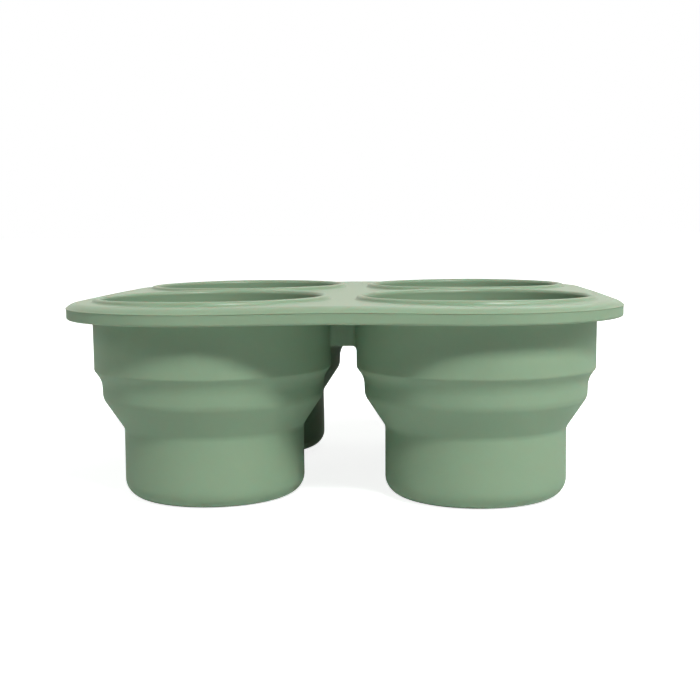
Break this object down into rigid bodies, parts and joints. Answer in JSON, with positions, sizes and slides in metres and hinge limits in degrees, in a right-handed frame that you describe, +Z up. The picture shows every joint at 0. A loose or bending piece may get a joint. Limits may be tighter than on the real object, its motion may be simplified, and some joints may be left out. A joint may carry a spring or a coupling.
{
  "type": "baby food freezer tray",
  "caption": "Folding silicone tray of round stepped cups hung from one square deck; each cup's base pushes up over two thin folds to free a frozen portion.",
  "frame": {"origin": "on the ground, below the middle of the tray", "axes": "+Z up out of the cups, +X to the right and +Y to the rear, both along the sides of the square that the cups stand on"},
  "size_m": [0.1678, 0.1678, 0.0607],
  "materials": {
    "silicone": "matte moulded silicone, sage green"
  },
  "bodies": {
    "tray": {"deck": "silicone", "web_rear": "silicone", "web_left": "silicone", "web_front": "silicone", "web_right": "silicone", "lip_ring_front_left": "silicone", "upper_band_front_left": "silicone", "upper_fold_front_left": "silicone", "lip_ring_front_right": "silicone", "upper_band_front_right": "silicone", "upper_fold_front_right": "silicone", "lip_ring_rear_left": "silicone", "upper_band_rear_left": "silicone", "upper_fold_rear_left": "silicone", "lip_ring_rear_right": "silicone", "upper_band_rear_right": "silicone", "upper_fold_rear_right": "silicone"},
    "front_left_middle": {"middle_band_front_left": "silicone", "lower_fold_front_left": "silicone"},
    "front_left_base": {"base_wall_front_left": "silicone", "base_corner_front_left": "silicone", "base_floor_front_left": "silicone"},
    "front_right_middle": {"middle_band_front_right": "silicone", "lower_fold_front_right": "silicone"},
    "front_right_base": {"base_wall_front_right": "silicone", "base_corner_front_right": "silicone", "base_floor_front_right": "silicone"},
    "rear_left_middle": {"middle_band_rear_left": "silicone", "lower_fold_rear_left": "silicone"},
    "rear_left_base": {"base_wall_rear_left": "silicone", "base_corner_rear_left": "silicone", "base_floor_rear_left": "silicone"},
    "rear_right_middle": {"middle_band_rear_right": "silicone", "lower_fold_rear_right": "silicone"},
    "rear_right_base": {"base_wall_rear_right": "silicone", "base_corner_rear_right": "silicone", "base_floor_rear_right": "silicone"}
  },
  "joints": [
    {"name": "front_left_upper_fold", "type": "slide", "parent": "tray", "child": "front_left_middle", "axis": [0, 0, 1], "range_m": [0, 0.0026], "deforming": ["upper_fold_front_left"]},
    {"name": "front_left_lower_fold", "type": "slide", "parent": "front_left_middle", "child": "front_left_base", "axis": [0, 0, 1], "range_m": [0, 0.0186], "deforming": ["lower_fold_front_left"]},
    {"name": "front_right_upper_fold", "type": "slide", "parent": "tray", "child": "front_right_middle", "axis": [0, 0, 1], "range_m": [0, 0.0026], "deforming": ["upper_fold_front_right"]},
    {"name": "front_right_lower_fold", "type": "slide", "parent": "front_right_middle", "child": "front_right_base", "axis": [0, 0, 1], "range_m": [0, 0.0186], "deforming": ["lower_fold_front_right"]},
    {"name": "rear_left_upper_fold", "type": "slide", "parent": "tray", "child": "rear_left_middle", "axis": [0, 0, 1], "range_m": [0, 0.0026], "deforming": ["upper_fold_rear_left"]},
    {"name": "rear_left_lower_fold", "type": "slide", "parent": "rear_left_middle", "child": "rear_left_base", "axis": [0, 0, 1], "range_m": [0, 0.0186], "deforming": ["lower_fold_rear_left"]},
    {"name": "rear_right_upper_fold", "type": "slide", "parent": "tray", "child": "rear_right_middle", "axis": [0, 0, 1], "range_m": [0, 0.0026], "deforming": ["upper_fold_rear_right"]},
    {"name": "rear_right_lower_fold", "type": "slide", "parent": "rear_right_middle", "child": "rear_right_base", "axis": [0, 0, 1], "range_m": [0, 0.0186], "deforming": ["lower_fold_rear_right"]}
  ]
}
